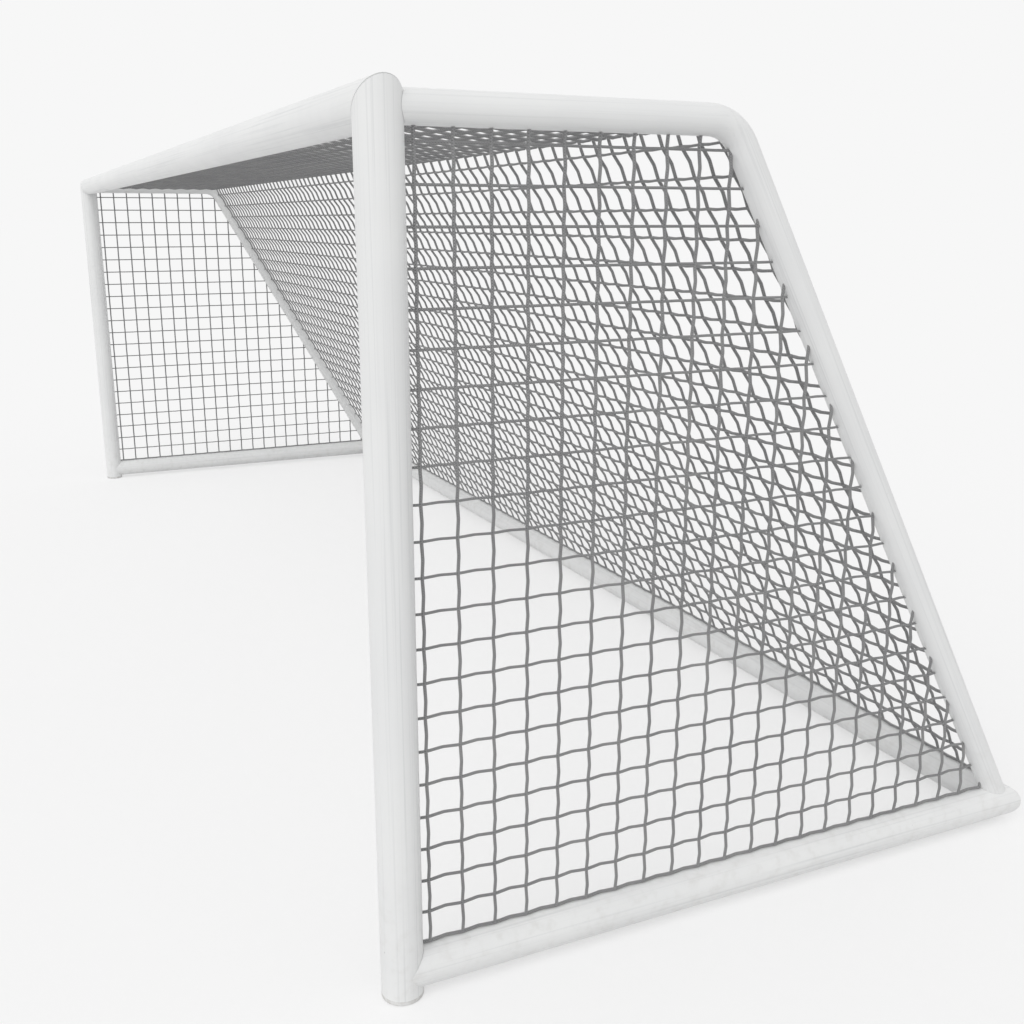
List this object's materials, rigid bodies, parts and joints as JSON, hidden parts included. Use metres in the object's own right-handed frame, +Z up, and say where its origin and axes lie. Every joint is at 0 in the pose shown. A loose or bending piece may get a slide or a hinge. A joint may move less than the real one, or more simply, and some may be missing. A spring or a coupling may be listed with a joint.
{
  "type": "hockey goal net",
  "caption": "Wide low hockey goal with a white round-tube frame, bent top stays and a grey square-mesh cord net on its sides, top and back.",
  "frame": {"origin": "on the ground at the centre of the footprint: midway between the posts, and midway between the axis of the posts and the axis of the rear bar", "axes": "+X to the right post, seen from the field; +Y from the mouth to the back; +Z up"},
  "size_m": [3.903, 1.2654, 1.2835],
  "materials": {
    "frame_paint": "powder coated, semi-gloss",
    "foot_plastic": "moulded",
    "cast_aluminium": "as cast",
    "screw_steel": "zinc plated",
    "net_cord": "braided cord",
    "foot_cord": "braided cord"
  },
  "bodies": {
    "root": {"left_post": "frame_paint", "right_post": "frame_paint", "left_post_foot_cap": "foot_plastic", "right_post_foot_cap": "foot_plastic", "crossbar": "frame_paint", "left_corner_elbow": "cast_aluminium", "right_corner_elbow": "cast_aluminium", "left_stay": "frame_paint", "right_stay": "frame_paint", "left_stay_top_plug": "cast_aluminium", "right_stay_top_plug": "cast_aluminium", "left_stay_foot_plug": "cast_aluminium", "right_stay_foot_plug": "cast_aluminium", "left_ground_bar": "frame_paint", "right_ground_bar": "frame_paint", "left_ground_bar_plug": "cast_aluminium", "right_ground_bar_plug": "cast_aluminium", "rear_ground_bar": "frame_paint", "left_rear_elbow": "cast_aluminium", "right_rear_elbow": "cast_aluminium", "corner_screws": "screw_steel", "rear_corner_screws": "screw_steel", "stay_screws": "screw_steel", "ground_bar_screws": "screw_steel", "left_side_net": "net_cord", "right_side_net": "net_cord", "top_net": "net_cord", "back_net": "net_cord", "fold_cord": "foot_cord", "left_side_foot_cord": "foot_cord", "right_side_foot_cord": "foot_cord", "rear_foot_cord": "foot_cord"}
  },
  "joints": []
}
